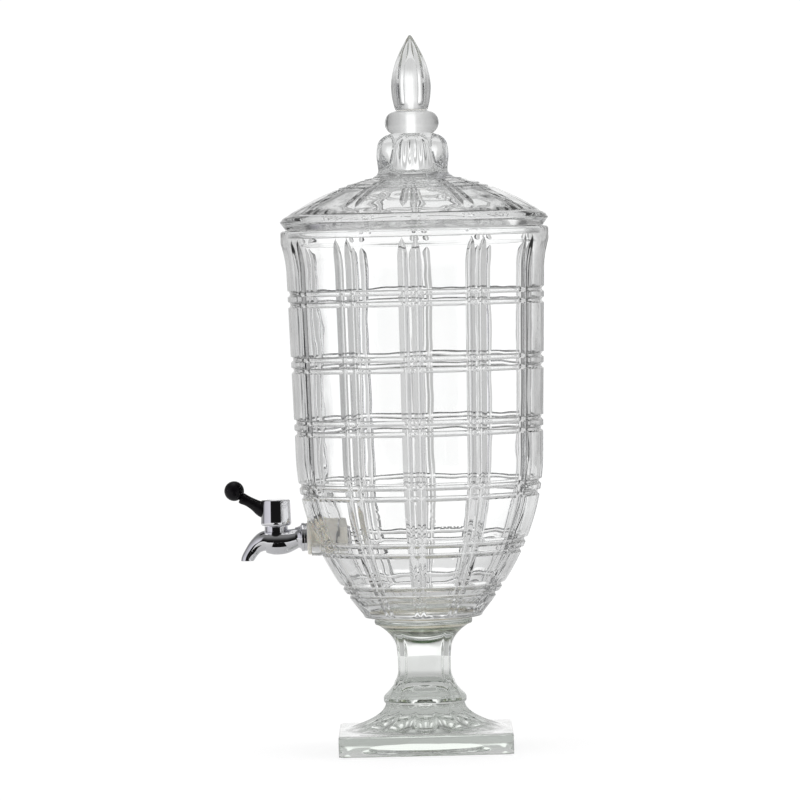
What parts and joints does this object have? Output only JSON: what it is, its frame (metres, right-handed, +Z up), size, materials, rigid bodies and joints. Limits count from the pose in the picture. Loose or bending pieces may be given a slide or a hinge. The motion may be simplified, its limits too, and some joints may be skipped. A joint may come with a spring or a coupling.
{
  "type": "beverage dispenser",
  "caption": "Pressed-glass beverage dispenser: an urn-shaped bowl on a square-footed pedestal, with a lift-off domed lid and a quarter-turn lever tap.",
  "frame": {"origin": "middle of the plinth's underside, where it meets the table, on the bowl's axis", "axes": "+Z up along the bowl's axis; the tap and its lever point to -Y; +X is to the right when facing the tap"},
  "size_m": [0.2104, 0.2591, 0.56],
  "materials": {
    "glass": "clear pressed glass, fire polished",
    "pedestal_glass": "clear pressed glass with a faint green-grey tint",
    "adhesive": "clear cured adhesive",
    "chrome": "polished chrome plate",
    "silicone": "cream silicone, satin",
    "nut_plastic": "white nylon, satin",
    "washer_steel": "stainless steel, brushed",
    "plug_plastic": "natural acetal, machined",
    "o_ring": "black rubber, matt",
    "screw_steel": "stainless steel",
    "lever_plastic": "black moulded plastic, semi-gloss"
  },
  "bodies": {
    "urn": {"bowl": "glass", "bowl_adhesive": "adhesive", "pedestal": "pedestal_glass", "spigot_body": "chrome", "escutcheon_ring": "chrome", "outer_washer": "silicone", "inner_washer": "silicone", "flat_washer": "washer_steel", "retaining_nut": "nut_plastic", "bonnet_ring": "chrome"},
    "lid": {"lid": "glass", "finial_adhesive": "adhesive", "finial": "glass"},
    "tap_lever": {"lever": "lever_plastic", "lever_ball": "lever_plastic", "hub": "chrome", "hub_screw": "screw_steel", "hub_cap": "chrome", "valve_plug": "plug_plastic", "upper_o_ring": "o_ring", "lower_o_ring": "o_ring"}
  },
  "joints": [
    {"name": "tap_turn", "type": "hinge", "parent": "urn", "child": "tap_lever", "pos_m": [0, -0.1138, 0.1687], "axis": [0, 0, 1], "range_deg": [0, 90]},
    {"name": "lid_lift", "type": "slide", "parent": "urn", "child": "lid", "axis": [0, 0, 1], "range_m": [0, 0.15]}
  ]
}
